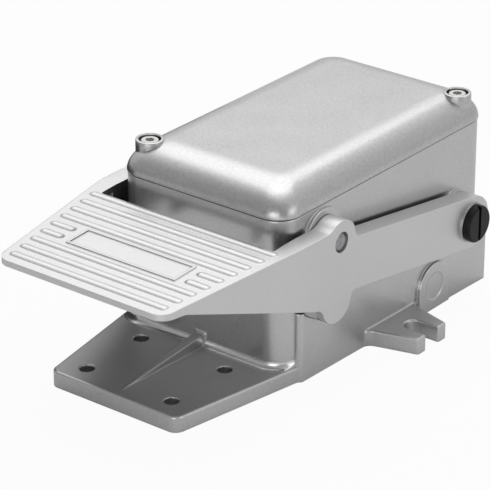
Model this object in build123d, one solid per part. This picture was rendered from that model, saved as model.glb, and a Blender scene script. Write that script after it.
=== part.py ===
"""Foot pedal air valve: a cast housing with a base plate, a lid, a rocking pedal and a 3/2 spool valve inside.

Millimetres, +Z up. X is the width, the pedal's toe points to -Y. The origin lies on the floor, in the
middle of the four bolt holes of the base plate. The pedal's side outline and its knuckles take the most
skill here: one casting that is a ribbed plate in front and two L-shaped arms behind.
"""
import os
from math import atan2, cos, degrees, hypot, pi, radians, sin, tan

from build123d import *

os.makedirs("parts", exist_ok=True)

# base plate and side lugs
plate_thickness = 8.0
plate_front = -30.6
plate_front_half_width = 37.1
plate_corner_radius = 5.0
plate_rear_proud = 1.6
plate_edge_round = 1.2
base_hole_radius = 3.5
base_hole_spacing_x = 50.0
base_hole_spacing_y = 38.0
base_hole_chamfer = 0.4
rib_front = -27.0
rib_height = 6.3
rib_half_width = 2.5
rib_tip_half_width = 0.6
rib_offset = 0.75
rib_fillet = 1.6
rib_foot_fillet = 0.5
lug_thickness = 8.0
lug_length = 28.9
lug_centre = 109.0
lug_root_half_length = 17.8
lug_tip_half_length = 11.2
lug_slot_radius = 5.0
lug_slot_depth = 10.3
lug_corner_radius = 1.2
lug_mouth_radius = 1.0
lug_root_radius = 5.0
lug_edge_round = 0.8
lug_cove_radius = 1.2

# housing
core_half_width = 48.4
core_front = 31.4
core_length = 161.3
core_height = 82.0
core_corner_radius = 12.0
core_wall = 4.4
floor_thickness = 5.0
front_cove_radius = 3.0
cheek_front = 43.0
cheek_length = 142.2
cheek_step = 2.9
cheek_flare = 0.0288
cheek_height = 41.0
cheek_edge_radius = 0.8
pocket_front_height = 34.8
pocket_depth_point = (18.2, 23.0)
pocket_rear_run = 16.0
pad_radius = 13.8
pad_height = 1.7
arch_centre = (142.0, 12.0)
arch_radius = 12.3
arch_disc_radius = 7.0
arch_proud = 1.3
arch_disc_depth = 0.4

# lid
lid_height = 12.5
lid_overhang = 0.4
lid_round = 11.4
lid_wall = 3.0
gasket_thickness = 0.5
lid_boss_radius = 6.75
lid_boss_proud = 1.4
lid_screw_side_inset = 8.7
lid_screw_end_inset = 13.5
lid_screw_radius = 2.5
lid_screw_head_radius = 4.25
lid_screw_head_height = 5.0
lid_screw_length = 24.0
lid_recess_radius = 5.3
lid_recess_depth = 5.6
hex_across_flats = 4.0
hex_depth = 2.6
screw_hole_clearance = 0.3
corner_post_radius = 5.0
corner_post_length = 26.0

# pedal
pedal_toe = -51.5
pedal_top_at_toe = 69.74
pedal_slope = 3.16
pedal_toe_inset = 12.14
pedal_flare = 0.142
pedal_toe_radius = 7.2
pedal_crease_radius = 120.0
pedal_plate = 3.0
pedal_level_from = 33.0
pedal_side_wall = 4.5
pedal_opening_front = 22.2
pedal_opening_radius = 1.2
web_start = -38.0
web_end = (44.0, 38.5)
lobe_centre = (57.0, 38.6)
lobe_radius = 10.8
arm_width = 9.6
arm_web = 4.0
arm_gap = 2.0
arm_slope = 8.6
arm_half_height = 13.2
arm_flange = 8.0
knuckle_radius = 10.6
knuckle_fillet = 4.0
knuckle_ramp_radius = 9.0
lobe_fillet = 2.5
tread_pitch = 8.04
tread_width = 4.6
tread_height = 0.9
tread_rows = 9
tread_inset = 3.4
tread_first = 19.5
tread_frame_rows = (4, 5)
tread_frame_gap = 35.3
tread_frame_width = 63.0
tread_frame_depth = 15.4
tread_frame_shift = 0.6
tread_frame_line = 1.2
tread_frame_height = 0.5
stiffener_width = 3.0
stiffener_height = 7.0
stiffener_x = 24.0
stiffener_start = 16.0

# pivot and cross pin
pivot = (165.8, 38.2)
pin = (60.0, 67.0)
pedal_travel = 5.0
pin_radius = 5.0
pin_recess = 1.3
pin_chamfer = 0.8
running_clearance = 0.05
slot_margin = 1.3
shoulder_radius = 6.0
pivot_thread_radius = 4.0
pivot_thread_length = 8.4
pivot_head_radius = 9.3
pivot_head_height = 3.3
pivot_head_round = 1.4
pivot_slot_width = 2.0
pivot_slot_depth = 1.8
bush_wall = 1.4
bush_flange_radius = 10.0
bush_flange = 0.8
side_play = 0.15

# parts on the cross pin
press_sleeve_radius = 8.0
press_sleeve_half_length = 12.0
washer_radius = 8.0
washer_thickness = 1.2
washer_gap = 0.3
saddle_inset = 14.0
saddle_radius = 9.5
saddle_height = 9.0
spigot_radius = 5.5
spigot_length = 4.0
spring_mean_radius = 8.0
spring_wire = 1.8
spring_turns = 6.0
rest_stop_radius = 5.0
rest_stop_height = 4.0
rest_stop_gap = 0.3
rest_post_radius = 6.5
rest_plug_radius = 2.0
rest_plug_length = 4.5

# spool valve
spool_y = 59.0
spool_radius = 6.95
spool_top = 37.0
spool_length = 14.0
spool_neck_radius = 5.0
spool_neck = 4.0
sleeve_radius = 11.0
sleeve_window_radius = 1.8
block_top = 38.0
block_half_width = 17.0
block_front = 40.0
block_flange_depth = 10.0
block_flange_inset = 2.0
block_flange_top = 44.0
block_foot = 9.0
block_foot_height = 7.0
block_foot_length = 14.0
block_foot_places = (100.0, 148.0)
block_screw_floor = 1.5
block_screw_radius = 2.5
cap_height = 6.0
cap_screw_offset = 12.5
cap_screw_radius = 2.0
cap_screw_head_radius = 3.5
cap_screw_head_height = 2.6
cap_screw_length = 14.0
stem_radius = 4.0
tappet_radius = 9.0
tappet_height = 4.0
tappet_gap = 0.2
seal_width = 1.6
seal_depth = 1.2
seal_places = (9.0, 18.0, 27.0)
window_rise = 5.0
stem_seal_height = 1.6
stem_seal_radius = 6.0
spool_spring_radius = 5.2
spool_spring_wire = 1.0
spool_spring_turns = 4.0
seat_height = 1.5

# air ports
port_radius = 5.9
port_depth = 14.0
port_spacing = 24.0
port_height = 24.0
port_face_radius = 10.0
port_face_depth = 0.6
port_gasket = 0.5
port_boss_inset = 6.0
gallery_radius = 3.0
gallery_spacing = 9.0

# derived places
beyond = 400.0
core_rear = core_front + core_length
core_middle = core_front + core_length / 2
inner_half_width = core_half_width - core_wall
inner_front = core_front + core_wall
inner_rear = core_rear - core_wall
cheek_rear = cheek_front + cheek_length
cheek_front_half_width = core_half_width + cheek_step
plate_rear_half_width = core_half_width + plate_rear_proud
plate_flare = (plate_rear_half_width - plate_front_half_width) / (cheek_front - plate_front)
lug_reach = core_half_width + lug_length
lug_slot_end = lug_reach - lug_slot_depth
pad_face = core_half_width + pad_height
arm_inner = core_half_width + arm_gap
arm_half_width = arm_inner + arm_width
web_inner = arm_half_width - arm_web
pedal_toe_half_width = arm_half_width - pedal_toe_inset
lid_bottom = core_height + gasket_thickness
lid_top = lid_bottom + lid_height
lid_boss_top = lid_top + lid_boss_proud
lid_screw_x = core_half_width - lid_screw_side_inset
lid_screw_places = [
    (-lid_screw_x, core_front + lid_screw_end_inset),
    (lid_screw_x, core_rear - lid_screw_end_inset),
]
saddle_x = inner_half_width - saddle_inset
rest_stop_top = pin[1] + pin_radius + rest_stop_gap + rest_stop_height
port_face = core_rear - port_depth
port_boss_half_width = inner_half_width - port_boss_inset
block_flange_half_width = port_boss_half_width - block_flange_inset
block_rear = port_face - port_gasket
sleeve_bore = spool_radius + running_clearance
cap_top = block_top + cap_height
saddle_bottom = pin[1] - saddle_height
tappet_top = pin[1] - press_sleeve_radius - tappet_gap
spool_bottom = spool_top - spool_length
seat_top = floor_thickness + seat_height
bush_radius = shoulder_radius + running_clearance + bush_wall
port_places = [(i * port_spacing, port_height) for i in (-1, 0, 1)]
gallery_levels = [z + window_rise for z in seal_places]
cap_screw_places = [
    (sx * cap_screw_offset, spool_y + sy * cap_screw_offset) for sx in (-1, 1) for sy in (-1, 1)
]


def plate_half_width(y):
    return plate_front_half_width + plate_flare * (y - plate_front)


def cheek_half_width(y):
    return cheek_front_half_width + cheek_flare * (y - cheek_front)


def pedal_half_width(y):
    return pedal_toe_half_width + pedal_flare * (y - pedal_toe)


def pedal_top(y):
    return pedal_top_at_toe + tan(radians(pedal_slope)) * (y - pedal_toe)


def arm_axis(y):
    return pivot[1] + tan(radians(arm_slope)) * (pivot[0] - y)


def turned_pin(angle):
    """Place of the cross pin when the pedal is down by this angle."""
    start = atan2(pin[1] - pivot[1], pin[0] - pivot[0])
    reach = hypot(pin[1] - pivot[1], pin[0] - pivot[0])
    return (
        pivot[0] + reach * cos(start + radians(angle)),
        pivot[1] + reach * sin(start + radians(angle)),
    )


def block(x0, x1, y0, y1, z0, z1):
    return Pos((x0 + x1) / 2, (y0 + y1) / 2, (z0 + z1) / 2) * Box(x1 - x0, y1 - y0, z1 - z0)


def post(x, y, z0, z1, radius):
    return Pos(x, y, (z0 + z1) / 2) * Cylinder(radius, z1 - z0)


def bar(x0, x1, y, z, radius):
    """Round bar along X."""
    return Pos((x0 + x1) / 2, y, z) * Rot(0, 90, 0) * Cylinder(radius, abs(x1 - x0))


def drilling(x, z, y0, y1, radius):
    """Round bar along Y."""
    return Pos(x, (y0 + y1) / 2, z) * Rot(90, 0, 0) * Cylinder(radius, y1 - y0)


def across(sketch, x0, x1):
    """Extrudes a sketch of the YZ plane between two places on X."""
    return extrude(Plane.YZ.offset(x0) * sketch, amount=x1 - x0)


def upwards(sketch, z0, z1):
    return extrude(Plane.XY.offset(z0) * sketch, amount=z1 - z0)


def outline(*points):
    return make_face(Polyline(*points, close=True))


def both_sides(shape):
    return shape + mirror(shape, about=Plane.YZ)


def rounded_plan(inset=0.0):
    """Plan outline of the housing's core, drawn in by inset."""
    plan = RectangleRounded(
        2 * (core_half_width - inset), core_length - 2 * inset, core_corner_radius - inset
    )
    return Pos(0, core_middle) * plan


def slot_between(start, end, radius):
    """Slot outline in the YZ plane round two places."""
    run = hypot(end[0] - start[0], end[1] - start[1])
    turn = degrees(atan2(end[1] - start[1], end[0] - start[0]))
    middle = ((start[0] + end[0]) / 2, (start[1] + end[1]) / 2)
    return Pos(*middle) * Rot(0, 0, turn) * SlotCenterToCenter(run, 2 * radius)


def at_vertices(sketch, places):
    """The vertices of a sketch that lie nearest to these places."""
    return [min(sketch.vertices(), key=lambda v: hypot(v.X - x, v.Y - y)) for x, y in places]


def write(name, shape):
    solids = shape.solids()
    part = solids[0] if len(solids) == 1 else Compound(children=list(solids))
    export_step(part, f"parts/{name}.step")


# housing casting
def base_plate():
    rear = cheek_front + 2
    plan = outline(
        (-plate_front_half_width, plate_front),
        (plate_front_half_width, plate_front),
        (plate_half_width(rear), rear),
        (-plate_half_width(rear), rear),
    )
    front_corners = [(s * plate_front_half_width, plate_front) for s in (-1, 1)]
    plan = fillet(at_vertices(plan, front_corners), plate_corner_radius)
    plate = upwards(plan, 0, plate_thickness)
    rim = [e for e in plate.edges().group_by(Axis.Z)[-1] if e.center().Y < rear - 1]
    return fillet(rim, plate_edge_round)


def gusset():
    """Wedge rib from the front wall down to the plate, narrow at its tip, rounded into the wall."""
    top = plate_thickness + rib_height
    wall = core_front + rib_fillet / 2
    low = plate_thickness - 0.5
    side = outline(
        (rib_front, low), (rib_front, plate_thickness), (core_front, top), (wall, top), (wall, low)
    )
    wedge = across(side, rib_offset - rib_half_width, rib_offset + rib_half_width)
    right = [(rib_tip_half_width, rib_front), (rib_half_width, core_front), (rib_half_width, wall)]
    plan = outline(*right, *[(-x, y) for x, y in reversed(right)])
    wedge &= upwards(Pos(rib_offset, 0) * plan, 0, top + 1)
    reach = rib_half_width + 2 * rib_fillet
    backing = block(rib_offset - reach, rib_offset + reach, core_front, wall, 1, top + 2 * rib_fillet)
    joined = wedge + backing
    joints = [
        e for e in joined.edges().filter_by(lambda e: abs(e.center().Y - core_front) < 0.01)
        if abs(e.center().X - rib_offset) < rib_half_width + 0.01
        and plate_thickness < e.center().Z < top + 0.01
    ]
    return fillet(joints, rib_fillet)


def front_cove():
    """Concave fillet between the plate and the front wall, carried round both corners."""
    r = front_cove_radius
    side = core_front + core_corner_radius
    straight = core_half_width - core_corner_radius
    level = plate_thickness + r
    cove = upwards(rounded_plan(-r), plate_thickness - 1, level) - bar(-straight, straight, core_front - r, level, r)
    for sx in (-1, 1):
        cove -= Pos(sx * straight, side, level) * Torus(core_corner_radius + r, r)
    edge = plate_edge_round + 0.1
    plan = outline(
        (-plate_half_width(core_front - r) + edge, core_front - r - 1),
        (plate_half_width(core_front - r) - edge, core_front - r - 1),
        (plate_half_width(side) - edge, side),
        (-plate_half_width(side) + edge, side),
    )
    return cove & upwards(plan, 0, level)


def lug():
    """Foot at the right side with a slot that is open at its tip, rounded into the cheek."""
    root = cheek_half_width(lug_centre)
    inner = core_half_width - 2
    near, far = (lug_centre + s * (lug_root_half_length + 2 * lug_root_radius) for s in (-1, 1))
    plan = outline(
        (inner, near),
        (cheek_half_width(near), near),
        (cheek_half_width(lug_centre - lug_root_half_length), lug_centre - lug_root_half_length),
        (lug_reach, lug_centre - lug_tip_half_length),
        (lug_reach, lug_centre + lug_tip_half_length),
        (cheek_half_width(lug_centre + lug_root_half_length), lug_centre + lug_root_half_length),
        (cheek_half_width(far), far),
        (inner, far),
    )
    roots = [(root, lug_centre + s * lug_root_half_length) for s in (-1, 1)]
    plan = fillet(at_vertices(plan, roots), lug_root_radius)
    slot = Pos(lug_slot_end, lug_centre) * Circle(lug_slot_radius)
    slot += Pos((lug_slot_end + lug_reach + 2) / 2, lug_centre) * Rectangle(
        lug_reach + 2 - lug_slot_end, 2 * lug_slot_radius
    )
    plan = plan - slot
    tips = [(lug_reach, lug_centre + s * lug_tip_half_length) for s in (-1, 1)]
    plan = fillet(at_vertices(plan, tips), lug_corner_radius)
    mouth = [(lug_reach, lug_centre + s * lug_slot_radius) for s in (-1, 1)]
    plan = fillet(at_vertices(plan, mouth), lug_mouth_radius)
    foot = upwards(plan, 0, lug_thickness)
    rim = [e for e in foot.edges().group_by(Axis.Z)[-1] if e.center().X > root + 0.8]
    return fillet(rim, lug_edge_round)


def lug_cove():
    """Small concave fillet along the joint between the lug's top and the cheek."""
    near, far = (lug_centre + s * lug_root_half_length for s in (-1, 1))
    r = lug_cove_radius
    level = lug_thickness + r
    edge = [(cheek_half_width(near), near), (cheek_half_width(far), far)]
    plan = outline(
        (edge[0][0] - 1, near), (edge[0][0] + r, near), (edge[1][0] + r, far), (edge[1][0] - 1, far)
    )
    wedge = upwards(plan, lug_thickness - 0.5, level)
    turn = degrees(atan2(edge[0][0] - edge[1][0], far - near))
    rod = Cylinder(r, 2 * (far - near))
    middle = ((edge[0][0] + edge[1][0]) / 2 + r, lug_centre, level)
    return wedge - Pos(*middle) * Rot(0, 0, turn) * Rot(90, 0, 0) * rod


def cheek():
    """Thick lower side wall on the right, with the pocket for the pedal's lobe."""
    plan = outline(
        (core_half_width - 2, cheek_front),
        (cheek_half_width(cheek_front), cheek_front),
        (cheek_half_width(cheek_rear), cheek_rear),
        (core_half_width - 2, cheek_rear),
    )
    corners = [(cheek_half_width(y), y) for y in (cheek_front, cheek_rear)]
    plan = fillet(at_vertices(plan, corners), cheek_edge_radius)
    wall = upwards(plan, 0, cheek_height)
    run, depth = pocket_depth_point
    pocket = outline(
        (cheek_front - 1, pocket_front_height),
        (cheek_front, pocket_front_height),
        (cheek_front + run, depth),
        (cheek_front + run + pocket_rear_run, pocket_front_height),
        (cheek_front + run + pocket_rear_run, cheek_height + 1),
        (cheek_front - 1, cheek_height + 1),
    )
    return wall - across(pocket, core_half_width, core_half_width + 10)


def arch():
    """Raised arch on the cheek with a shallow disc in it."""
    y, z = arch_centre
    face = cheek_half_width(y) + arch_proud
    shape = Pos(y, z) * Circle(arch_radius) + Pos(y, z / 2) * Rectangle(2 * arch_radius, z)
    solid = across(shape, core_half_width - 1, face)
    solid = solid & block(0, beyond, 0, beyond, 0, beyond)
    return solid - bar(face - arch_disc_depth, face + 1, y, z, arch_disc_radius)


def housing():
    pressed = turned_pin(pedal_travel)
    body = upwards(rounded_plan(), 0, core_height)
    side = cheek() + lug()
    for piece in (lug_cove(), arch()):
        side += piece
    body += both_sides(side)
    for place in (pin, pivot):
        body += both_sides(bar(core_half_width - 1, pad_face, *place, pad_radius))
    for piece in (base_plate(), gusset(), front_cove()):
        body += piece
    body -= upwards(rounded_plan(core_wall), floor_thickness, core_height + 1)
    for x, y in lid_screw_places:
        body += post(x, y, core_height - corner_post_length, core_height, corner_post_radius)
        body -= post(x, y, core_height - corner_post_length + 4, core_height + 1, lid_screw_radius)
    body += block(
        -port_boss_half_width, port_boss_half_width, port_face, core_rear - 1, 0, block_flange_top
    )
    for x, z in port_places:
        body -= drilling(x, z, port_face - 1, core_rear + 1, port_radius)
        body -= drilling(x, z, core_rear - port_face_depth, core_rear + 1, port_face_radius)
    slot = slot_between(pin, pressed, pin_radius + slot_margin)
    body -= both_sides(across(slot, inner_half_width - 1, pad_face + 1))
    thread_start = cheek_half_width(pivot[0]) - pivot_thread_length - 0.6
    body -= both_sides(bar(thread_start, arm_half_width, *pivot, pivot_thread_radius))
    for sx in (-1, 1):
        body += post(sx * saddle_x, spool_y, floor_thickness - 1, floor_thickness + spigot_length, spigot_radius)
        for y in block_foot_places:
            x = sx * (block_half_width + block_foot / 2)
            body -= post(x, y, block_screw_floor, floor_thickness + 1, block_screw_radius)
        for sy in (-1, 1):
            x, y = sx * base_hole_spacing_x / 2, sy * base_hole_spacing_y / 2
            body -= post(x, y, -1, plate_thickness + 1, base_hole_radius)
            body -= Pos(x, y, plate_thickness - base_hole_chamfer / 2) * Cone(
                base_hole_radius, base_hole_radius + base_hole_chamfer, base_hole_chamfer
            )
    return body


# lid and its fasteners
def lid_form(inset, height, corner_round):
    """Shallow box with a rolled top edge."""
    solid = upwards(rounded_plan(inset), lid_bottom, lid_bottom + height)
    return fillet(solid.edges().group_by(Axis.Z)[-1], corner_round)


def cover():
    lid = lid_form(-lid_overhang, lid_height, lid_round)
    hollow = lid_form(core_wall, lid_height - lid_wall, core_corner_radius - core_wall - 0.2)
    lid -= hollow
    inside_top = lid_top - lid_wall
    for x, y in lid_screw_places:
        lid += post(x, y, lid_bottom, lid_boss_top, lid_boss_radius)
        lid -= post(x, y, lid_bottom - 1, lid_boss_top + 1, lid_screw_radius + screw_hole_clearance)
        lid -= post(x, y, lid_boss_top - lid_recess_depth, lid_boss_top + 1, lid_recess_radius)
    for sx in (-1, 1):
        x, y = sx * saddle_x, pin[0]
        lid += post(x, y, rest_stop_top, inside_top + 1, rest_post_radius)
        lid -= post(x, y, rest_stop_top - 1, rest_stop_top + rest_plug_length + 0.5, rest_plug_radius)
    return lid


def cover_gasket():
    sheet = upwards(rounded_plan(0.3), core_height, lid_bottom)
    window = upwards(rounded_plan(core_wall), core_height - 1, lid_bottom + 1)
    for x, y in lid_screw_places:
        window -= post(x, y, core_height - 2, lid_bottom + 2, corner_post_radius)
        sheet -= post(x, y, core_height - 2, lid_bottom + 2, lid_screw_radius + screw_hole_clearance)
    return sheet - window


def socket_screw(x, y, seat, radius, length, head_radius, head_height, flats, socket):
    head = post(x, y, seat, seat + head_height, head_radius)
    head = chamfer(head.edges().group_by(Axis.Z)[-1], 0.3)
    key = Pos(x, y) * RegularPolygon(flats / 2, 6, major_radius=False)
    head -= upwards(key, seat + head_height - socket, seat + head_height + 1)
    return head + post(x, y, seat - length, seat, radius)


def cover_screws():
    seat = lid_boss_top - lid_recess_depth
    return [
        socket_screw(
            x, y, seat, lid_screw_radius, lid_screw_length, lid_screw_head_radius,
            lid_screw_head_height, hex_across_flats, hex_depth,
        )
        for x, y in lid_screw_places
    ]


def rest_stops():
    bottom = rest_stop_top - rest_stop_height
    pads = []
    for sx in (-1, 1):
        x, y = sx * saddle_x, pin[0]
        pad = post(x, y, bottom, rest_stop_top, rest_stop_radius)
        pads.append(pad + post(x, y, bottom, rest_stop_top + rest_plug_length, rest_plug_radius))
    return pads


# pedal casting
def pedal_side():
    """Side outline of the pedal in the YZ plane."""
    plate_bottom = pedal_top(web_start) - pedal_plate - 1.2
    shoulder = pedal_top(pedal_level_from)
    front = outline(
        (pedal_toe, pedal_top(pedal_toe)),
        (pedal_level_from, shoulder),
        (pin[0], shoulder),
        pin,
        lobe_centre,
        (lobe_centre[0] - lobe_radius * 0.95, lobe_centre[1] - 3),
        web_end,
        (web_start, plate_bottom),
        (pedal_toe, pedal_top(pedal_toe) - pedal_plate),
    )
    rise = radians(arm_slope)
    along = (-cos(rise), sin(rise))
    up = (sin(rise) * arm_half_height, cos(rise) * arm_half_height)
    reach = pivot[0] - lobe_centre[0]
    root = (pivot[0] + along[0] * reach, pivot[1] + along[1] * reach)
    arm = outline(
        (pivot[0] + up[0], pivot[1] + up[1]),
        (root[0] + up[0], root[1] + up[1]),
        (root[0] - up[0], root[1] - up[1]),
        (pivot[0] - up[0], pivot[1] - up[1]),
    )
    side = front + arm + Pos(*pivot) * Circle(arm_half_height)
    side += Pos(*pin) * Circle(knuckle_radius) + Pos(*lobe_centre) * Circle(lobe_radius)
    top_notch = (pin[0] + knuckle_radius, arm_axis(pin[0] + knuckle_radius) + arm_half_height)
    low_notch = (lobe_centre[0] + lobe_radius, arm_axis(lobe_centre[0]) - arm_half_height)
    ramp_foot = (pin[0] - (knuckle_radius**2 - (shoulder - pin[1]) ** 2) ** 0.5, shoulder)
    side = fillet(at_vertices(side, [ramp_foot]), knuckle_ramp_radius)
    side = fillet(at_vertices(side, [top_notch]), knuckle_fillet)
    return fillet(at_vertices(side, [low_notch]), lobe_fillet)


def pedal_plan():
    """Plan outline: a toe plate that flares to the parallel arms."""
    crease = pedal_toe + (arm_half_width - pedal_toe_half_width) / pedal_flare
    rear = pivot[0] + 2 * arm_half_height
    right = [
        (pedal_toe_half_width, pedal_toe), (arm_half_width, crease), (arm_half_width, rear),
    ]
    plan = outline(*right, *[(-x, y) for x, y in reversed(right)])
    toes = [(s * pedal_toe_half_width, pedal_toe) for s in (-1, 1)]
    plan = fillet(at_vertices(plan, toes), pedal_toe_radius)
    creases = [(s * arm_half_width, crease) for s in (-1, 1)]
    return fillet(at_vertices(plan, creases), pedal_crease_radius)


def under_plate():
    """Room between the side walls below the plate, with the two stiffeners left standing."""
    front, rear = pedal_toe - 1, pedal_opening_front + 8
    roof = pedal_top(front) - pedal_plate
    side = outline((front, 0), (front, roof), (rear, pedal_top(rear) - pedal_plate), (rear, 0))
    wide = [pedal_half_width(y) - pedal_side_wall for y in (front, rear)]
    plan = outline((-wide[0], front), (wide[0], front), (wide[1], rear), (-wide[1], rear))
    room = across(side, -arm_half_width, arm_half_width) & upwards(plan, 0, beyond)
    web = outline(
        (pedal_toe + stiffener_start, pedal_top(pedal_toe + stiffener_start) - pedal_plate),
        (pedal_opening_front - 2, pedal_top(pedal_opening_front) - pedal_plate),
        (pedal_opening_front - 2, pedal_top(pedal_opening_front) - pedal_plate - stiffener_height),
    )
    for x in (-stiffener_x, stiffener_x):
        room -= across(web, x - stiffener_width / 2, x + stiffener_width / 2)
    return room


def arm_hollow():
    """What is taken out of the right arm below its flange, so that its section is an L."""
    lip = arm_flange
    rise = tan(radians(arm_slope))
    start = pin[0] + knuckle_radius
    end = pivot[0] + 2 * arm_half_height
    flange = arm_half_height / cos(radians(arm_slope)) - lip
    front = pedal_opening_front - 10
    room = outline(
        (front, 0),
        (front, pedal_top(front) - lip),
        (pin[0] - knuckle_radius, pedal_top(pin[0] - knuckle_radius) - lip),
        (start, arm_axis(start) + flange),
        (end, pivot[1] + flange - rise * (end - pivot[0])),
        (end, 0),
    )
    room -= Pos(*pin) * Circle(knuckle_radius)
    return across(room, 0, web_inner)


def domed_rib(x0, x1, y):
    """Rib along X with a domed top and round ends, lying on the plane z = 0."""
    half = tread_width / 2
    radius = (half**2 + tread_height**2) / (2 * tread_height)
    level = tread_height - radius
    dome = bar(x0 + half, x1 - half, y, level, radius)
    for x in (x0 + half, x1 - half):
        dome += Pos(x, y, level) * Sphere(radius)
    return dome & block(x0 - half, x1 + half, y - 2 * half, y + 2 * half, -0.2, 2 * tread_height)


def treads():
    """Domed ribs across the plate and the bare rectangular frame between them."""
    tilt = Plane(
        origin=(0, pedal_toe, pedal_top(pedal_toe)),
        x_dir=(1, 0, 0),
        z_dir=(0, -sin(radians(pedal_slope)), cos(radians(pedal_slope))),
    )
    scale = 1 / cos(radians(pedal_slope))
    ribs = []
    for row in range(tread_rows):
        y = tread_first - row * tread_pitch
        reach = pedal_half_width(y) - tread_inset
        spans = [(-reach, reach)]
        if row in tread_frame_rows:
            spans = [(-reach, -tread_frame_gap), (tread_frame_gap, reach)]
        for x0, x1 in spans:
            ribs.append(tilt.location * domed_rib(x0, x1, (y - pedal_toe) * scale))
    y = tread_first - (tread_frame_rows[0] + 0.5) * tread_pitch + tread_frame_shift
    frame = Rectangle(tread_frame_width, tread_frame_depth)
    frame -= Rectangle(tread_frame_width - 2 * tread_frame_line, tread_frame_depth - 2 * tread_frame_line)
    frame = extrude(Plane.XY.offset(-0.3) * Pos(0, (y - pedal_toe) * scale) * frame, amount=tread_frame_height + 0.3)
    ribs.append(tilt.location * frame)
    return ribs


def pedal():
    body = across(pedal_side(), -arm_half_width, arm_half_width) & upwards(pedal_plan(), 0, beyond)
    body -= under_plate()
    body -= both_sides(arm_hollow()) & block(-beyond, beyond, pedal_opening_front, beyond, 0, beyond)
    opening = Pos(0, (pedal_opening_front + beyond) / 2) * RectangleRounded(
        2 * arm_inner, beyond - pedal_opening_front, pedal_opening_radius
    )
    body -= upwards(opening, 0, beyond)
    for rib in treads():
        body += rib
    body -= both_sides(bar(arm_inner - 1, arm_half_width + 1, *pivot, bush_radius))
    body -= both_sides(bar(arm_inner - 1, arm_half_width + 1, *pin, pin_radius))
    return body


# pivot screws, bushes and the parts on the cross pin
def pivot_bush(side):
    bush = bar(web_inner, arm_half_width, *pivot, bush_radius)
    bush += bar(arm_half_width, arm_half_width + bush_flange, *pivot, bush_flange_radius)
    bush -= bar(web_inner - 1, arm_half_width + 2, *pivot, shoulder_radius + running_clearance)
    return bush if side > 0 else mirror(bush, about=Plane.YZ)


def pivot_screw(side):
    seat = cheek_half_width(pivot[0] + shoulder_radius) + running_clearance
    under_head = arm_half_width + bush_flange + side_play
    head = bar(under_head, under_head + pivot_head_height, *pivot, pivot_head_radius)
    head = fillet(head.edges().group_by(Axis.X)[-1], pivot_head_round)
    head -= block(
        under_head + pivot_head_height - pivot_slot_depth, under_head + 10,
        pivot[0] - pivot_slot_width / 2, pivot[0] + pivot_slot_width / 2, 0, beyond,
    )
    screw = head + bar(seat, under_head, *pivot, shoulder_radius)
    screw += bar(cheek_half_width(pivot[0]) - pivot_thread_length, seat, *pivot, pivot_thread_radius)
    return screw if side > 0 else mirror(screw, about=Plane.YZ)


def cross_pin():
    end = arm_half_width - pin_recess
    rod = bar(-end, end, *pin, pin_radius)
    ends = [e for e in rod.edges() if abs(abs(e.center().X) - end) < 0.01]
    return chamfer(ends, pin_chamfer)


def press_sleeve():
    half = press_sleeve_half_length
    return bar(-half, half, *pin, press_sleeve_radius) - bar(-half - 1, half + 1, *pin, pin_radius)


def guide_washer(side):
    outer = inner_half_width - washer_gap
    washer = bar(outer - washer_thickness, outer, *pin, washer_radius)
    washer -= bar(outer - washer_thickness - 1, outer + 1, *pin, pin_radius)
    return washer if side > 0 else mirror(washer, about=Plane.YZ)


def spring_saddle(side):
    saddle = post(side * saddle_x, pin[0], saddle_bottom, pin[1], saddle_radius)
    saddle += post(side * saddle_x, pin[0], saddle_bottom - spigot_length, saddle_bottom, spigot_radius)
    return saddle - bar(-beyond, beyond, *pin, pin_radius)


def coil(x, y, z0, z1, mean_radius, wire, turns):
    """Compression spring between two heights."""
    pitch = (z1 - z0 - wire) / turns
    path = Pos(x, y, z0 + wire / 2) * Helix(pitch, pitch * turns, mean_radius)
    start = Plane(origin=path @ 0, z_dir=path % 0)
    return sweep(start * RegularPolygon(wire / 2, 6), path=path, is_frenet=True)


# spool valve
def valve_sleeve():
    sleeve = post(0, spool_y, seat_top, block_top, sleeve_radius)
    sleeve -= post(0, spool_y, floor_thickness, block_top + 1, sleeve_bore)
    for z in seal_places:
        groove = post(0, spool_y, z, z + seal_width, sleeve_radius + 1)
        groove -= post(0, spool_y, z - 1, z + seal_width + 1, sleeve_radius - seal_depth)
        sleeve -= groove
    for z in gallery_levels:
        sleeve -= bar(-sleeve_radius - 1, sleeve_radius + 1, spool_y, z, sleeve_window_radius)
        sleeve -= drilling(0, z, spool_y, spool_y + sleeve_radius + 1, sleeve_window_radius)
    return sleeve


def sleeve_seals():
    rings = []
    for z in seal_places:
        ring = post(0, spool_y, z, z + seal_width, sleeve_radius)
        rings.append(ring - post(0, spool_y, z - 1, z + seal_width + 1, sleeve_radius - seal_depth))
    return rings


def spool():
    body = post(0, spool_y, spool_bottom, spool_top, spool_radius)
    middle = (spool_bottom + spool_top) / 2
    neck = post(0, spool_y, middle - spool_neck / 2, middle + spool_neck / 2, spool_radius + 1)
    return body - (neck - post(0, spool_y, spool_bottom, spool_top, spool_neck_radius))


def tappet():
    head = post(0, spool_y, tappet_top - tappet_height, tappet_top, tappet_radius)
    head = fillet(head.edges().group_by(Axis.Z)[-1], 1.0)
    return head + post(0, spool_y, spool_top, tappet_top - tappet_height, stem_radius)


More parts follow.
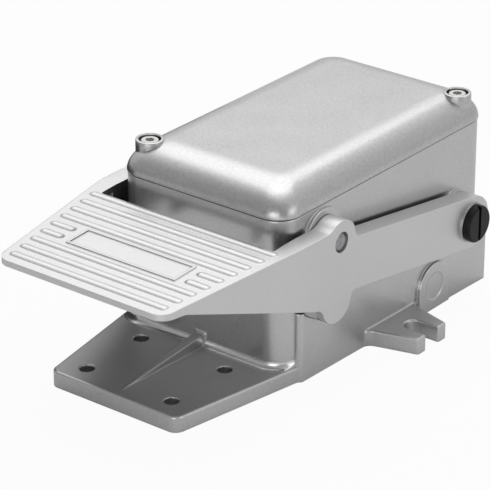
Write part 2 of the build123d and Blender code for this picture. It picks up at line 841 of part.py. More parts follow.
def valve_block():
    body = block(-block_half_width, block_half_width, block_front, block_rear, floor_thickness, block_top)
    body += block(
        -block_flange_half_width, block_flange_half_width, block_rear - block_flange_depth, block_rear,
        floor_thickness, block_flange_top,
    )
    foot_width = block_half_width + block_foot
    for y in block_foot_places:
        half = block_foot_length / 2
        body += block(-foot_width, foot_width, y - half, y + half, floor_thickness, floor_thickness + block_foot_height)
        for sx in (-1, 1):
            x = sx * (block_half_width + block_foot / 2)
            body -= post(x, y, 0, block_top, block_screw_radius + screw_hole_clearance)
    body -= post(0, spool_y, 0, block_top + 1, sleeve_radius)
    middle = block_rear - block_flange_depth / 2
    for i, level in zip((-1, 0, 1), gallery_levels):
        x, port_x = i * gallery_spacing, i * port_spacing
        body -= drilling(x, level, spool_y, middle, gallery_radius)
        body -= bar(min(x, port_x) - gallery_radius, max(x, port_x) + gallery_radius, middle, level, gallery_radius)
        body -= post(port_x, middle, min(level, port_height), max(level, port_height) + 0.1, gallery_radius)
        body -= drilling(port_x, port_height, middle, block_rear + 1, gallery_radius)
    for x, y in cap_screw_places:
        body -= post(x, y, block_top - cap_screw_length + cap_height, block_top + 1, cap_screw_radius)
    return body


def valve_cap():
    cap = block(
        -block_half_width, block_half_width, spool_y - block_half_width, spool_y + block_half_width,
        block_top, cap_top,
    )
    cap -= post(0, spool_y, block_top - 1, cap_top + 1, stem_radius + running_clearance)
    cap -= post(0, spool_y, cap_top - stem_seal_height, cap_top + 1, stem_seal_radius)
    for x, y in cap_screw_places:
        cap -= post(x, y, block_top - 1, cap_top + 1, cap_screw_radius + screw_hole_clearance)
    return cap


def stem_seal():
    ring = post(0, spool_y, cap_top - stem_seal_height, cap_top, stem_seal_radius)
    return ring - post(0, spool_y, cap_top - 5, cap_top + 1, stem_radius + running_clearance)


def cap_screws():
    return [
        socket_screw(
            x, y, cap_top, cap_screw_radius, cap_screw_length, cap_screw_head_radius,
            cap_screw_head_height, 3.0, 1.6,
        )
        for x, y in cap_screw_places
    ]


def block_screws():
    seat = floor_thickness + block_foot_height
    length = block_foot_height + floor_thickness - 2
    return [
        socket_screw(
            sx * (block_half_width + block_foot / 2), y, seat, block_screw_radius, length,
            1.7 * block_screw_radius, 2 * block_screw_radius, hex_across_flats, hex_depth,
        )
        for sx in (-1, 1)
        for y in block_foot_places
    ]


def port_seal():
    sheet = block(
        -block_flange_half_width, block_flange_half_width, block_rear, port_face,
        floor_thickness + 1, block_flange_top - 1,
    )
    for x, z in port_places:
        sheet -= drilling(x, z, block_rear - 1, port_face + 1, port_radius)
    return sheet


def main():
    write("housing", housing())
    write("cover", cover())
    write("cover_gasket", cover_gasket())
    write("cover_screws", Compound(children=cover_screws()))
    write("rest_stops", Compound(children=rest_stops()))
    write("pedal", pedal())
    write("cross_pin", cross_pin())
    write("press_sleeve", press_sleeve())
    for name, side in (("left", -1), ("right", 1)):
        write(f"pivot_screw_{name}", pivot_screw(side))
        write(f"pivot_bush_{name}", pivot_bush(side))
        write(f"guide_washer_{name}", guide_washer(side))
        write(f"spring_saddle_{name}", spring_saddle(side))
        spring = coil(
            side * saddle_x, spool_y + 1, floor_thickness, saddle_bottom,
            spring_mean_radius, spring_wire, spring_turns,
        )
        write(f"return_spring_{name}", spring)
    write("valve_block", valve_block())
    write("valve_sleeve", valve_sleeve())
    write("sleeve_seals", Compound(children=sleeve_seals()))
    write("spool", spool())
    write("tappet", tappet())
    write("valve_cap", valve_cap())
    write("stem_seal", stem_seal())
    write("cap_screws", Compound(children=cap_screws()))
    write("block_screws", Compound(children=block_screws()))
    write("port_gasket", port_seal())
    write("spring_seat", post(0, spool_y, floor_thickness, seat_top, sleeve_radius - 0.02))
    write(
        "spool_spring",
        coil(0, spool_y, seat_top, spool_bottom, spool_spring_radius, spool_spring_wire, spool_spring_turns),
    )


main()
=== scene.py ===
from math import cos, pi, radians, sin

import bmesh
import bpy
import numpy as np
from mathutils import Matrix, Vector


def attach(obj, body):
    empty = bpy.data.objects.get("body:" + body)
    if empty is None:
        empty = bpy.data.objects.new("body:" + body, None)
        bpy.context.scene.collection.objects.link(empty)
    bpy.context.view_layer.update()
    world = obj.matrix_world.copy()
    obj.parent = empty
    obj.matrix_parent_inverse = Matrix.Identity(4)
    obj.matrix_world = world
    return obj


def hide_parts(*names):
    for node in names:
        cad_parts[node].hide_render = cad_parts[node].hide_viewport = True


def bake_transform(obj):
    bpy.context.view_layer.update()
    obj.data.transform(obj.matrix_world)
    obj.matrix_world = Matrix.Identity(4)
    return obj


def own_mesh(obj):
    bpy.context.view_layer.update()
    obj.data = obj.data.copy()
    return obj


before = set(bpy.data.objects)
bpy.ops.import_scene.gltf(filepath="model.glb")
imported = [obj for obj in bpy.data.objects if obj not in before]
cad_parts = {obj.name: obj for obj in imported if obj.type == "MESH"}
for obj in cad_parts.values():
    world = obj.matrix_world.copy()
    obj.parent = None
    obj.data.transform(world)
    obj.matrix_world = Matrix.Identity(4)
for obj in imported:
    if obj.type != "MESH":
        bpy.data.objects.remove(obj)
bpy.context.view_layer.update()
scene = bpy.context.scene
scene.view_settings.view_transform = "Standard"
print("frame loaded,", len(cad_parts), "CAD nodes")


class Wire:
    # one output socket; + - * / make Math nodes, so masks read as plain sums
    def __init__(self, tree, socket):
        self.tree = tree
        self.socket = socket

    def maths(self, operation, *others):
        inputs = {place: value for place, value in enumerate((self, *others))}
        return self.tree.node("ShaderNodeMath", dict(operation=operation), inputs).out(0)

    def __add__(self, other): return self.maths("ADD", other)
    def __radd__(self, other): return self.maths("ADD", other)
    def __sub__(self, other): return self.maths("SUBTRACT", other)
    def __rsub__(self, other): return self.tree.number(other).maths("SUBTRACT", self)
    def __mul__(self, other): return self.maths("MULTIPLY", other)
    def __rmul__(self, other): return self.maths("MULTIPLY", other)
    def __truediv__(self, other): return self.maths("DIVIDE", other)
    def atLeast(self, low): return self.maths("MAXIMUM", low)
    def clip(self): return self.atLeast(0.0).maths("MINIMUM", 1.0)


class Node:
    def __init__(self, tree, node):
        self.tree = tree
        self.node = node

    def out(self, key):
        return Wire(self.tree, self.node.outputs[key])


class Tree:
    # a material's or the world's node tree
    def __init__(self, owner):
        owner.use_nodes = True
        self.tree = owner.node_tree
        self.tree.nodes.clear()

    def node(self, kind, settings=None, inputs=None):
        made = self.tree.nodes.new(kind)
        for name, value in (settings or {}).items():
            if name == "stops":   # a ramp's stops: (place, grey)
                ramp = made.color_ramp
                while len(ramp.elements) < len(value):
                    ramp.elements.new(0.5)
                for element, (place, level) in zip(ramp.elements, value):
                    element.position = place
                    element.color = grey(level)
            else:
                setattr(made, name, value)
        for key, value in (inputs or {}).items():
            socket = made.inputs[key]
            if isinstance(value, Wire):
                self.tree.links.new(value.socket, socket)
            else:
                socket.default_value = value
        return Node(self, made)

    def number(self, value):
        return self.node("ShaderNodeMath", dict(operation="ADD"), {0: value, 1: 0.0}).out(0)

    def place(self):
        return self.node("ShaderNodeTexCoord").out("Object")

    def noise(self, place, scale, detail, roughness=0.5):
        inputs = {"Vector": place, "Scale": scale, "Detail": detail, "Roughness": roughness}
        return self.node("ShaderNodeTexNoise", {}, inputs).out("Fac")

    def split(self, vector):
        parts = self.node("ShaderNodeSeparateXYZ", {}, {0: vector})
        return [parts.out(axis) for axis in "XYZ"]

    def dot(self, one, other):
        settings = dict(operation="DOT_PRODUCT")
        return self.node("ShaderNodeVectorMath", settings, {0: one, 1: other}).out("Value")

    def mix(self, mask, low, high):
        return self.node("ShaderNodeMix", dict(data_type="RGBA"), {0: mask, 6: low, 7: high}).out(2)

    def finish(self, surface, kind="ShaderNodeOutputMaterial"):
        self.node(kind, {}, {"Surface": surface.out(0)})


def grey(level):
    return (level, level, level, 1.0)


def newMaterial(name):
    material = bpy.data.materials.new(name)
    return material, Tree(material)


castShade = dict(
    samples=8, creaseFrom=0.35, darkTone=0.7, lightTone=1.3, edgeWearAndHighlightGain=4,
    floorFacing=0.95, floorGain=25, topGain=200, inwardGain=-40, paintedInsideShadeGrey=0.06,
    grainDetail=3.0, grainRoughness=0.6, cloudDetail=2.0, bumpDepth=0.0002,
)


def blastedMetal(name, look):
    # fine shot-blasted casting: a dense grain in bump and colour, soft clouds in roughness
    material, tree = newMaterial(name)
    shade = castShade
    place = tree.place()
    grain = tree.noise(place, look["grainScale"], shade["grainDetail"], shade["grainRoughness"])
    cloud = tree.noise(place, look["cloudScale"], shade["cloudDetail"])
    creases = tree.node(
        "ShaderNodeAmbientOcclusion", dict(samples=shade["samples"], only_local=True),
        {"Distance": look["creaseReach"]}).out("AO")
    open_ = (creases - shade["creaseFrom"]) / (1 - shade["creaseFrom"])   # 0 deep in a corner, 1 in the open
    tone = 0.5 + (grain - 0.5) * look["grainTone"] + (cloud - 0.5) * look["cloudTone"]
    # painted shade: the tone darkens in corners and creases, as far as the ambient occlusion above finds them
    tone = (tone - (1 - open_.clip()) * look["paintedCreaseShade"]).clip()
    shape = tree.node("ShaderNodeNewGeometry").out("Normal")
    edge = tree.node(
        "ShaderNodeBevel", dict(samples=shade["samples"]), {"Radius": look["edge"]}).out("Normal")
    turn = 1 - tree.dot(edge, shape)
    edgeWearAndHighlight = (turn * shade["edgeWearAndHighlightGain"]).clip() * open_.clip()   # outer edges lighter: partly wear, partly a painted highlight
    cast = tree.mix(tone, grey(look["tone"] * shade["darkTone"]), grey(look["tone"] * shade["lightTone"]))
    colour = tree.mix(edgeWearAndHighlight, cast, grey(look["edgeWearAndHighlightTone"]))
    facingX, _, facingZ = tree.split(shape)
    placeX, _, placeZ = tree.split(place)
    looksUp = ((facingZ - shade["floorFacing"]) * shade["floorGain"]).clip()
    trodden = looksUp * ((look["troddenTop"] - placeZ) * shade["topGain"]).clip()   # low faces that look up
    inward = (facingX * placeX * shade["inwardGain"]).clip()   # side faces that look to the middle, for the painted shade below
    # painted shade: those inner side faces darken towards near black
    colour = tree.mix(inward * look["paintedInsideShade"], colour, grey(shade["paintedInsideShadeGrey"]))
    spread = look["roughSpread"]
    rough = (cloud - 0.5) * spread + (grain - 0.5) * spread
    rough = rough + trodden * look["troddenRough"] + look["roughness"]
    bump = tree.node("ShaderNodeBump", {}, {
        "Height": grain, "Strength": look["bump"], "Distance": shade["bumpDepth"],
        "Normal": edge}).out("Normal")
    tree.finish(tree.node("ShaderNodeBsdfPrincipled", {}, {
        "Base Color": colour, "Roughness": rough, "Metallic": look["metallic"], "Normal": bump}))
    return material


smallShade = dict(grainDetail=2.0, roughSpread=0.15, bumpDepth=0.0001, shine=0.5)


def plainFinish(name, look):
    # turned, drawn or moulded small parts: one tone with a faint grain
    material, tree = newMaterial(name)
    grain = tree.noise(tree.place(), look["grainScale"], smallShade["grainDetail"])
    low = tuple(c * (1 - look["spread"]) for c in look["colour"]) + (1.0,)
    high = tuple(min(1.0, c * (1 + look["spread"])) for c in look["colour"]) + (1.0,)
    rough = (grain - 0.5) * smallShade["roughSpread"] + look["roughness"]
    bump = tree.node("ShaderNodeBump", {}, {
        "Height": grain, "Strength": look["bump"], "Distance": smallShade["bumpDepth"]}).out("Normal")
    tree.finish(tree.node("ShaderNodeBsdfPrincipled", {}, {
        "Base Color": tree.mix(grain, low, high), "Roughness": rough, "Metallic": look["metallic"],
        "Normal": bump, "Specular IOR Level": look.get("shine", smallShade["shine"])}))
    return material


plainCasting = dict(
    metallic=0.95, grainScale=1000, cloudScale=60, cloudTone=0.15, bump=0.08,
    troddenTop=0.0, troddenRough=0.0, paintedInsideShade=0.0,
)
castings = {
    "housingMetal": dict(
        plainCasting, tone=0.58, edgeWearAndHighlightTone=0.85, roughness=0.30, roughSpread=0.08, grainTone=0.5,
        creaseReach=0.010, paintedCreaseShade=0.12, edge=0.0011, troddenTop=0.025, troddenRough=0.15),
    "lidMetal": dict(
        plainCasting, tone=0.56, edgeWearAndHighlightTone=0.60, roughness=0.31, roughSpread=0.10, grainTone=0.8,
        grainScale=750, cloudScale=50, cloudTone=0.12, bump=0.20,
        creaseReach=0.004, paintedCreaseShade=0.3, edge=0.0006),
    "pedalMetal": dict(
        plainCasting, tone=0.67, edgeWearAndHighlightTone=0.85, roughness=0.42, roughSpread=0.08, grainTone=0.35,
        metallic=0.9, grainScale=1600, cloudTone=0.12, bump=0.15,
        creaseReach=0.004, paintedCreaseShade=0.12, edge=0.0006, paintedInsideShade=0.85),
    # painted highlight: the cove's fillet is part of the housing casting, with a lighter tone of its own
    "covePaintedHighlightMetal": dict(
        plainCasting, tone=0.75, edgeWearAndHighlightTone=0.80, roughness=0.24, roughSpread=0.06, grainTone=0.4,
        creaseReach=0.002, paintedCreaseShade=0.1, edge=0.0004),
}
bareMetal = dict(metallic=1.0, spread=0.1, bump=0.05)
dull = dict(metallic=0.0, spread=0.3, bump=0.1)
smallFinishes = {
    "blackOxide": dict(
        dull, colour=(0.009, 0.009, 0.010), roughness=0.42, grainScale=900, spread=0.4, shine=0.22),
    "zincPlate": dict(bareMetal, colour=(0.72, 0.72, 0.71), roughness=0.26, grainScale=900, spread=0.08),
    "groundSteel": dict(
        bareMetal, colour=(0.34, 0.34, 0.35), roughness=0.30, grainScale=450, spread=0.45, bump=0.25),
    "springWire": dict(bareMetal, colour=(0.36, 0.36, 0.37), roughness=0.35, grainScale=500),
    "bushSteel": dict(bareMetal, colour=(0.55, 0.55, 0.54), roughness=0.35, grainScale=600),
    "whitePlastic": dict(
        dull, colour=(0.80, 0.80, 0.77), roughness=0.5, grainScale=400, spread=0.04, bump=0.05),
    "gasketPaper": dict(dull, colour=(0.08, 0.08, 0.08), roughness=0.7, grainScale=800),
    "blackRubber": dict(dull, colour=(0.03, 0.03, 0.03), roughness=0.7, grainScale=800, bump=0.2),
    "valveBrass": dict(bareMetal, colour=(0.70, 0.52, 0.24), roughness=0.3, grainScale=500, spread=0.08),
    "milledAluminium": dict(
        bareMetal, colour=(0.62, 0.62, 0.63), roughness=0.35, grainScale=500, spread=0.08, bump=0.08),
}
metals = {name: blastedMetal(name, look) for name, look in castings.items()}
metals.update({name: plainFinish(name, look) for name, look in smallFinishes.items()})
print("materials made:", len(metals))


finishNodes = {
    "gasketPaper": ("cover_gasket",),
    "zincPlate": ("cover_screws", "cap_screws", "block_screws"),
    "groundSteel": ("cross_pin", "press_sleeve", "spool", "tappet", "spring_seat"),
    "bushSteel": ("pivot_bush_left", "pivot_bush_right"),
    "whitePlastic": ("guide_washer_left", "guide_washer_right", "spring_saddle_left", "spring_saddle_right"),
    "blackRubber": ("rest_stops", "sleeve_seals", "stem_seal", "port_gasket"),
    "valveBrass": ("valve_sleeve",),
    "milledAluminium": ("valve_block", "valve_cap"),
}


def paint(piece, finish):
    piece.data.materials.clear()
    piece.data.materials.append(metals[finish])


def dress(piece, finish, body):
    paint(piece, finish)
    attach(piece, body)


for finish, nodes in finishNodes.items():
    for node in nodes:
        paint(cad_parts[node], finish)


castEdge = dict(round=0.0005, angle=35)
pivotScrew = dict(body="base", slot="black_screw", finish="blackOxide", round=0.0003, angle=40)
edgedCopies = {
    "housing": dict(castEdge, name="housingCasting", body="base", slot="cast_body", finish="housingMetal"),
    "pedal": dict(castEdge, name="pedalCasting", body="treadle", slot="cast_pedal", finish="pedalMetal"),
    "pivot_screw_left": dict(pivotScrew, name="pivotScrewLeft"),
    "pivot_screw_right": dict(pivotScrew, name="pivotScrewRight"),
}
edging = dict(doubles=0.000002, flatAngle=0.3, steps=3, flatWeight=100)


def edgedCopy(node, made):
    # a copy of the node's mesh: doubles merged, flat areas joined, then its sharp edges rounded
    copy = bpy.data.objects.new(made["name"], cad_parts[node].data.copy())
    scene.collection.objects.link(copy)
    mesh = bmesh.new()
    mesh.from_mesh(copy.data)
    bmesh.ops.remove_doubles(mesh, verts=mesh.verts, dist=edging["doubles"])
    bmesh.ops.dissolve_limit(
        mesh, angle_limit=radians(edging["flatAngle"]), verts=mesh.verts, edges=mesh.edges, delimit=set())
    for face in mesh.faces:
        face.smooth = True
    mesh.to_mesh(copy.data)
    mesh.free()
    bevel = copy.modifiers.new("edges", "BEVEL")
    bevel.width = made["round"]
    bevel.segments = edging["steps"]
    bevel.limit_method = "ANGLE"
    bevel.angle_limit = radians(made["angle"])
    bevel.use_clamp_overlap = True
    flat = copy.modifiers.new("flats", "WEIGHTED_NORMAL")   # large flat faces keep their own normal
    flat.weight = edging["flatWeight"]
    flat.keep_sharp = False
    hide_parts(node)
    dress(copy, made["finish"], made["body"])


for node, made in edgedCopies.items():
    edgedCopy(node, made)
print("castings softened")


def gridPiece(name, grid, sharp=None):
    # a skin over rows x columns x 3 points: quads between neighbours, columns closed into a ring,
    # fans on the end rows; edges over the sharp angle stay hard
    rows, columns = grid.shape[:2]
    index = np.arange(rows * columns).reshape(rows, columns)
    beside = np.roll(index, -1, axis=1)
    first, last = np.full((2, columns), [[rows * columns], [rows * columns + 1]])
    faces = np.stack([index[:-1], index[1:], beside[1:], beside[:-1]], axis=-1).reshape(-1, 4).tolist()
    faces += np.stack([first, index[0], beside[0]], axis=-1).tolist()
    faces += np.stack([last, beside[-1], index[-1]], axis=-1).tolist()
    points = np.vstack([grid.reshape(-1, 3), grid[0].mean(axis=0), grid[-1].mean(axis=0)])
    mesh = bpy.data.meshes.new(name)
    mesh.from_pydata(points.tolist(), [], faces)
    mesh.shade_smooth()
    if sharp is not None:
        mesh.set_sharp_from_angle(angle=radians(sharp))
    piece = bpy.data.objects.new(name, mesh)
    scene.collection.objects.link(piece)
    return piece


def turned(name, centre, profile, sharp=None, lying=False, steps=64):
    # a lathe form about the vertical axis, or about X when lying:
    # every profile point (radius, height) runs round a circle
    radius, height = np.array(profile).T[:, :, None]
    angle = np.linspace(0, 2 * pi, steps, endpoint=False)[None, :]
    grid = np.stack([
        centre[0] + radius * np.cos(angle), centre[1] + radius * np.sin(angle), height + 0 * angle], axis=-1)
    return gridPiece(name, np.roll(grid, 1, axis=-1) if lying else grid, sharp)


def wound(name, centre, radius, turns, heights, section, sharp=None, axis=2, perTurn=40):
    # a section carried along a helix: turns and heights are the places where its pitch changes,
    # axis is 1 for Y and 2 for Z
    turn = np.linspace(turns[0], turns[-1], round(perTurn * (turns[-1] - turns[0])) + 1)[:, None]
    height = np.interp(turn, turns, heights)
    out, up = np.array(section).T[:, None, :]
    angle = 2 * pi * turn
    grid = np.stack([
        centre[0] + (radius + out) * np.cos(angle), centre[1] + (radius + out) * np.sin(angle),
        height + up], axis=-1)
    return gridPiece(name, np.roll(grid, axis - 2, axis=-1), sharp)


lid = dict(
    halfWidth=0.0488, front=0.0310, rear=0.1931, bottom=0.0825, top=0.0962, corner=0.0124, crownCorner=0.0050,
    rollWidth=0.0170, frontRoll=1.24, rollSteps=26, cornerSteps=20, sideSteps=8, sharp=32,
    wall=0.0035, rim=0.0048, edge=0.0003, crownShares=(0.02, 0.35, 0.7, 0.9), ceilingShares=(1, 0.5, 0.02),
    innerRound=((0.0, 0.006), (0.0015, 0.0025), (0.005, 0.0006)),
)
lidBoss = dict(
    places=((-0.0397, 0.0449), (0.0397, 0.1792)), radius=0.00675, top=0.0964, foot=0.0835, middle=0.00135,
    rim=0.0004, rimBend=0.00012, recessRadius=0.0053, recessDepth=0.0056, recessAbove=0.002,
)


def lidRings():
    # outside: a quarter ellipse from the crown down to the rim; inside: the same form, a wall further in.
    # each ring is (inset from the edge, height, share of the ring's own size)
    top, bottom, rollWidth, inner = (lid[key] for key in ("top", "bottom", "rollWidth", "rim"))
    turn = np.linspace(0, pi / 2, lid["rollSteps"])
    drop = top - bottom - lid["edge"]
    ceiling = top - lid["wall"]
    crown = [(rollWidth, top, share) for share in lid["crownShares"]]
    outside = np.stack([
        rollWidth * (1 - np.sin(turn)), top - drop * (1 - np.cos(turn)), 1 + 0 * turn], axis=-1)
    foot = [(lid["edge"], bottom, 1), (inner, bottom, 1)]
    rise = [(inner + further, ceiling - below, 1) for further, below in lid["innerRound"]]
    under = [(rollWidth, ceiling, share) for share in lid["ceilingShares"]]
    return np.vstack([crown, outside, foot, rise, under])


def lidGrid():
    # each ring is a rounded rectangle: quarter circles at the corners and straight runs between them
    inset, height, share = lidRings().T[:, :, None, None]
    half = np.array([lid["halfWidth"], (lid["rear"] - lid["front"]) / 2])
    wider = lid["frontRoll"] - 1   # the front roll is wider than the others, so the rings shift to the rear
    reach = half - inset * (1, 1 + wider / 2)
    corner = lid["corner"] + (lid["crownCorner"] - lid["corner"]) * np.minimum(inset / lid["rollWidth"], 1)
    quarter = np.arange(4)[:, None] * pi / 2
    angle = quarter + np.linspace(0, pi / 2, lid["cornerSteps"])[None, :]
    within = quarter + 0.5   # any angle inside each quarter, for the signs of its corner
    signs = np.sign(np.stack([np.cos(within), np.sin(within)], axis=-1))[None]
    round_ = np.stack([np.cos(angle), np.sin(angle)], axis=-1)[None]
    bends = (reach - corner)[:, :, None, :] * signs + corner[:, :, None, :] * round_
    start, end = bends[:, :, -1:], np.roll(bends[:, :, :1], -1, axis=1)
    along = np.linspace(0, 1, lid["sideSteps"] + 2)[1:-1, None]
    ring = np.concatenate([bends, start + (end - start) * along], axis=2)
    ring = ring.reshape(len(ring), -1, 2) * share
    ring[..., 1:] += (lid["front"] + lid["rear"] + inset * wider) / 2
    return np.concatenate([ring, np.broadcast_to(height, ring.shape[:2] + (1,))], axis=-1)


def makeLid():
    # the crowned skin, then a boss added and a recess cut at each screw
    piece = gridPiece("lidCasting", lidGrid())
    radius, top, foot, middle, rim, bend = (
        lidBoss[key] for key in ("radius", "top", "foot", "middle", "rim", "rimBend"))
    recess, above, seat = lidBoss["recessRadius"], top + lidBoss["recessAbove"], top - lidBoss["recessDepth"]
    forms = {
        "UNION": [
            (middle, top), (radius - rim, top), (radius - bend, top - bend), (radius, top - rim),
            (radius, foot), (middle, foot)],
        "DIFFERENCE": [(middle, above), (recess, above), (recess, seat), (middle, seat)],
    }
    tools = []
    for place in lidBoss["places"]:
        for operation, profile in forms.items():
            tool = turned("lidTool", place, profile)
            cut = piece.modifiers.new("lidTool", "BOOLEAN")
            cut.operation, cut.solver, cut.object = operation, "EXACT", tool
            tools.append(tool)
    shaped = bpy.data.meshes.new_from_object(piece.evaluated_get(bpy.context.evaluated_depsgraph_get()))
    piece.modifiers.clear()
    piece.data = shaped
    for tool in tools:
        bpy.data.objects.remove(tool)
    shaped.set_sharp_from_angle(angle=radians(lid["sharp"]))
    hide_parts("cover")
    dress(piece, "lidMetal", "base")


makeLid()
print("lid made")


rootCove = dict(
    frontWall=0.0314, halfStraight=0.0364, corner=0.0120, plateTop=0.0080, radius=0.0033, sink=0.0008,
    bendSteps=16, arcSteps=12, turnBy=88, sharp=40,
    plateEdge=0.0371, plateEdgeAt=-0.0306, plateSlope=0.1753, edgeGap=0.0010,
)


def makeRootCove():
    # the concave fillet where the front wall meets the plate: its section is a quarter circle that curves
    # inwards, closed behind in the metal, and the path is the wall's foot with both rounded corners
    corner, r, sink = rootCove["corner"], rootCove["radius"], rootCove["sink"]
    bend = np.radians(np.linspace(-90, -90 + rootCove["turnBy"], rootCove["bendSteps"]))
    rightOut = np.stack([np.cos(bend), np.sin(bend)], axis=-1)
    right = np.stack([
        rootCove["halfStraight"] + corner * np.cos(bend),
        rootCove["frontWall"] + corner * (1 + np.sin(bend))], axis=-1)
    path = np.concatenate([right[::-1] * (-1, 1), right])
    out = np.concatenate([rightOut[::-1] * (-1, 1), rightOut])
    arc = np.linspace(0, pi / 2, rootCove["arcSteps"])
    away = np.concatenate([[-sink], [-sink], [r], r * (1 - np.sin(arc))])
    rise = np.concatenate([[r], [-sink], [-sink], r * (1 - np.cos(arc))])
    height = np.broadcast_to(rootCove["plateTop"] + rise[None, :, None], (len(path), len(rise), 1))
    grid = np.concatenate([path[:, None, :] + out[:, None, :] * away[None, :, None], height], axis=-1)
    flare = rootCove["plateSlope"] * (grid[..., 1] - rootCove["plateEdgeAt"])
    inside = rootCove["plateEdge"] + flare - rootCove["edgeGap"]
    grid[..., 0] = np.clip(grid[..., 0], -inside, inside)   # stays on the plate
    # its lighter tone is a painted highlight
    dress(gridPiece("rootCove", grid, rootCove["sharp"]), "covePaintedHighlightMetal", "base")


cheekBead = dict(
    wall=0.0484, side=0.051325, front=0.0410, rear=0.0438, top=0.0348, steps=14, sharp=40,
    sideBack=0.0003, rearBack=0.001, wallBack=0.0016,
)


def makeCheekBeads():
    # the cheek's front edge: a quarter ellipse in plan, straight up from the floor,
    # sunk into the metal behind
    turn = np.linspace(-pi / 2, 0, cheekBead["steps"])
    wall, side, front, rear = (cheekBead[key] for key in ("wall", "side", "front", "rear"))
    arc = np.stack([wall + (side - wall) * np.cos(turn), rear + (rear - front) * np.sin(turn)], axis=-1)
    backWall, backRear = wall - cheekBead["wallBack"], rear + cheekBead["rearBack"]
    back = [(side - cheekBead["sideBack"], backRear), (backWall, backRear), (backWall, front)]
    section = np.vstack([arc, back])
    for name, plan in (("cheekBeadRight", section), ("cheekBeadLeft", section[::-1] * (-1, 1))):
        rows = [np.column_stack([plan, np.full(len(plan), height)]) for height in (cheekBead["top"], 0.0)]
        dress(gridPiece(name, np.stack(rows), cheekBead["sharp"]), "housingMetal", "base")


pinEnd = dict(
    centre=(0.0600, 0.0670), root=0.0586, sharp=50,
    profile=(
        (0.0008, 0.0011), (0.0020, 0.00105), (0.0034, 0.0008),
        (0.0041, 0.0004), (0.0043, 0.0), (0.0008, 0.0)),
)


def makePinEnds():
    # low domed ends on the cross pin, with a dark ring round them in the pedal's bore
    for name, side in (("pinEndRight", 1), ("pinEndLeft", -1)):
        profile = [(radius, side * (pinEnd["root"] + height)) for radius, height in pinEnd["profile"]]
        end = turned(name, pinEnd["centre"], profile[::side], pinEnd["sharp"], lying=True)
        dress(end, "groundSteel", "treadle")


makeRootCove()
makeCheekBeads()
makePinEnds()
print("cove, beads and pin ends made")


returnSpring = dict(low=0.0050, high=0.0580, radius=0.0080, wire=0.0018, turns=6)
springs = {
    "return_spring_left": dict(returnSpring, name="returnSpringLeft", centre=(-0.0300, 0.0600)),
    "return_spring_right": dict(returnSpring, name="returnSpringRight", centre=(0.0300, 0.0600)),
    "spool_spring": dict(
        name="spoolSpring", centre=(0.0, 0.0590), low=0.0065, high=0.0230, radius=0.0052, wire=0.0010,
        turns=4),
}
springForm = dict(wireSides=12, closedRise=1.25, stiffEnd=2, slide=0.00945)   # the 1.25 and 2 are in wires


def makeSpring(node, made):
    # round wire, one closed turn at each end, both ends ground flat
    low, high, wire = made["low"], made["high"], made["wire"]
    side = np.linspace(0, 2 * pi, springForm["wireSides"], endpoint=False)
    section = np.stack([np.cos(side), np.sin(side)], axis=-1) * wire / 2
    turns = (0, 1, 1 + made["turns"], 2 + made["turns"])
    closed, stiff = springForm["closedRise"] * wire, springForm["stiffEnd"] * wire
    heights = (low + wire / 4, low + closed, high - closed, high - wire / 4)
    spring = wound(made["name"], made["centre"], made["radius"], turns, heights, section)
    points = np.empty(3 * len(spring.data.vertices), np.float32)
    spring.data.vertices.foreach_get("co", points)
    points[2::3] = np.clip(points[2::3], low, high)
    spring.data.vertices.foreach_set("co", points)
    paint(spring, "springWire")
    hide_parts(node)
    if node == "spool_spring":   # rides on the base, with a mesh of its own
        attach(spring, "base")
        keep = 1 - springForm["slide"] / (high - low)
        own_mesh(spring)
    else:   # its place baked into the mesh
        low + stiff
        high - stiff
        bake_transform(spring)


portThread = dict(
    places={"Left": -0.024, "Middle": 0.0, "Right": 0.024}, height=0.0240, radius=0.0059, sharp=40,
    pitch=0.001337, turns=8, start=0.1810,
    section=((0.00012, -0.00062), (0.00012, 0.00062), (-0.00018, 0.0)),
)


def makePortThreads():
    # a low ridge wound along each port's bore, a quarter-inch pipe thread
    start, turns = portThread["start"], portThread["turns"]
    heights = (start, start + turns * portThread["pitch"])
    for name, x in portThread["places"].items():
        thread = wound(
            "portThread" + name, (portThread["height"], x), portThread["radius"], (0, turns), heights,
            portThread["section"], portThread["sharp"], axis=1)
        dress(thread, "milledAluminium", "base")


for node, made in springs.items():
    makeSpring(node, made)
makePortThreads()
print("springs and threads made")


def card(name, corners, material):
    # a flat piece of the studio
    mesh = bpy.data.meshes.new(name)
    mesh.from_pydata(corners, [], [(0, 1, 2, 3)])
    mesh.materials.append(material)
    piece = bpy.data.objects.new(name, mesh)
    scene.collection.objects.link(piece)
    return piece


def rayKinds(tree):
    rays = tree.node("ShaderNodeLightPath")
    return rays.out("Is Camera Ray"), (rays.out("Is Glossy Ray") + rays.out("Is Transmission Ray")).clip()


floorLook = dict(
    half=4.0, below=-0.0002, grey=0.72, lift=0.95, shadeReach=0.04, samples=8,
    glowReach=1.4, glowBase=0.32, glowRight=0.12, leftTowards=(-0.5, -0.866, 0.0), leftLess=0.35,
    frontGlow=1.3, frontTowards=(0.50, -0.866, 0.0), frontSharpness=10.0, frontFrom=0.11, frontRise=0.25,
)


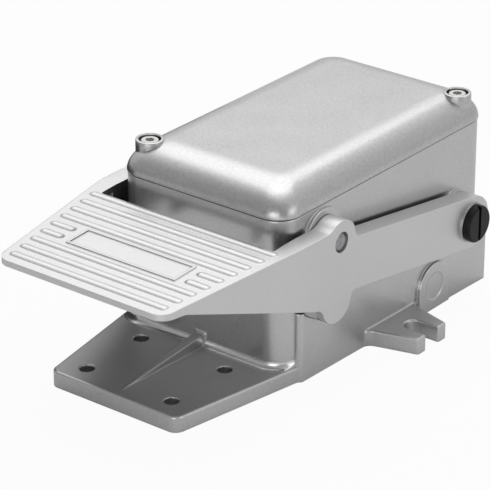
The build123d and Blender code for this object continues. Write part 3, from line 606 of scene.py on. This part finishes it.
def makeFloor():
    # white where the camera looks; in reflections its glow fades with the distance from the object
    look = floorLook
    material, tree = newMaterial("floorWhite")
    seen, mirrored = rayKinds(tree)
    place = tree.place()
    distance = tree.node("ShaderNodeVectorMath", dict(operation="LENGTH"), {0: place}).out("Value")
    bearing = tree.node("ShaderNodeVectorMath", dict(operation="NORMALIZE"), {0: place}).out(0)
    right = tree.dot(bearing, (1, 0, 0))
    front = tree.dot(bearing, look["frontTowards"])
    left = tree.dot(bearing, look["leftTowards"])
    dim = 1 - left.atLeast(0.0) * look["leftLess"]
    patch = front.atLeast(0.0).maths("POWER", look["frontSharpness"])
    fade = (1 - distance / look["glowReach"]).clip()
    far = ((distance - look["frontFrom"]) / look["frontRise"]).clip()
    shade = tree.node(
        "ShaderNodeAmbientOcclusion", dict(samples=look["samples"]),
        {"Distance": look["shadeReach"]}).out("AO")
    glowShare = mirrored * shade * dim * (
        fade * (right * look["glowRight"] + look["glowBase"]) + far * patch * look["frontGlow"])
    matt = tree.node("ShaderNodeBsdfDiffuse", {}, {"Color": grey(look["grey"])})
    glow = tree.node("ShaderNodeEmission", {}, {"Color": grey(1.0), "Strength": 1.0})
    tree.finish(tree.node("ShaderNodeMixShader", {}, {
        0: seen * look["lift"] + glowShare, 1: matt.out(0), 2: glow.out(0)}))
    half = look["half"]
    floor = card("floor", [(-half, -half, 0), (half, -half, 0), (half, half, 0), (-half, half, 0)], material)
    floor.location.z = look["below"]


flagLook = dict(x=-0.105, front=-0.03, length=0.20, height=0.085, grey=0.04)


def makeFlag():
    # a dark card beside the object, seen by reflections alone, as photographers use on bright metal
    material, tree = newMaterial("flagBlack")
    tree.finish(tree.node("ShaderNodeBsdfDiffuse", {}, {"Color": grey(flagLook["grey"])}))
    x, front, height = flagLook["x"], flagLook["front"], flagLook["height"]
    rear = front + flagLook["length"]
    flag = card("flag", [(x, front, 0), (x, rear, 0), (x, rear, height), (x, front, height)], material)
    flag.visible_camera = flag.visible_diffuse = flag.visible_shadow = flag.visible_transmission = False


sky = dict(
    towards=(-0.34, 0.43, 0.836), skyShare=0.10, aheadFrom=0.15, aheadWidth=0.5, aheadLess=0.42,
    dome=((0.0, 0.50), (0.25, 0.54), (0.6, 0.62), (0.75, 0.72), (0.86, 0.9), (0.93, 1.0)),
    panels=(   # towards, cosine where the panel starts, cosine's width of its soft edge, strength
        ((0.340, -0.930, 0.140), 0.915, 0.05, 1.7),
        ((0.957, 0.131, 0.260), 0.94, 0.045, 1.2),
        ((-0.12, 0.12, 0.985), 0.93, 0.05, 0.45)),
)


def makeWorld():
    # a white dome, brightest high behind the left shoulder, plain white for the camera
    world = bpy.data.worlds.new("studio")
    scene.world = world
    tree = Tree(world)
    seen, mirrored = rayKinds(tree)
    aim = tree.node("ShaderNodeTexCoord").out("Generated")
    facing = tree.dot(aim, sky["towards"]).clip()
    dome = tree.node("ShaderNodeValToRGB", dict(stops=sky["dome"]), {0: facing}).out("Color")
    _, forward, _ = tree.split(aim)
    ahead = ((sky["aheadFrom"] - forward) / sky["aheadWidth"]).clip()
    level = dome * (1 - ahead * sky["aheadLess"])
    for towards, start, width, strength in sky["panels"]:
        level = level + ((tree.dot(aim, towards) - start) / width).clip() * strength
    level = level + (1 - level) * mirrored * sky["skyShare"]   # mirrored rays see it nearer to white
    level = (1 - seen) * level + seen
    light = tree.node("ShaderNodeBackground", {}, {"Color": grey(1.0), "Strength": level})
    tree.finish(light, "ShaderNodeOutputWorld")


softbox = dict(place=(-0.80, 1.05, 2.0), aim=(0, 0.06, 0.05), size=(2.0, 2.0), power=11)


def makeSoftbox():
    light = bpy.data.lights.new("key", "AREA")
    light.shape = "RECTANGLE"
    light.size, light.size_y = softbox["size"]
    light.energy = softbox["power"]
    lamp = bpy.data.objects.new("key", light)
    scene.collection.objects.link(lamp)
    lamp.location = softbox["place"]
    towards = Vector(softbox["aim"]) - Vector(softbox["place"])
    lamp.rotation_euler = towards.to_track_quat("-Z", "Y").to_euler()
    lamp.visible_camera = False


shot = dict(
    azimuth=38.356, elevation=25.516, place=(0.74182, -0.87198, 0.61654),
    lens=208.8, sensor=36.0, near=0.1, far=20,
)


def makeCamera():
    # a long lens at the photograph's angle
    azimuth, elevation = radians(shot["azimuth"]), radians(shot["elevation"])
    back = Vector((sin(azimuth) * cos(elevation), -cos(azimuth) * cos(elevation), sin(elevation)))
    lens = bpy.data.cameras.new("camera")
    lens.lens, lens.sensor_width = shot["lens"], shot["sensor"]
    lens.clip_start, lens.clip_end = shot["near"], shot["far"]
    camera = bpy.data.objects.new("camera", lens)
    scene.collection.objects.link(camera)
    camera.location = shot["place"]
    camera.rotation_mode = "QUATERNION"
    camera.rotation_quaternion = (-back).to_track_quat("-Z", "Y")
    scene.camera = camera


makeFloor()
makeFlag()
makeWorld()
makeSoftbox()
makeCamera()
print("studio ready")
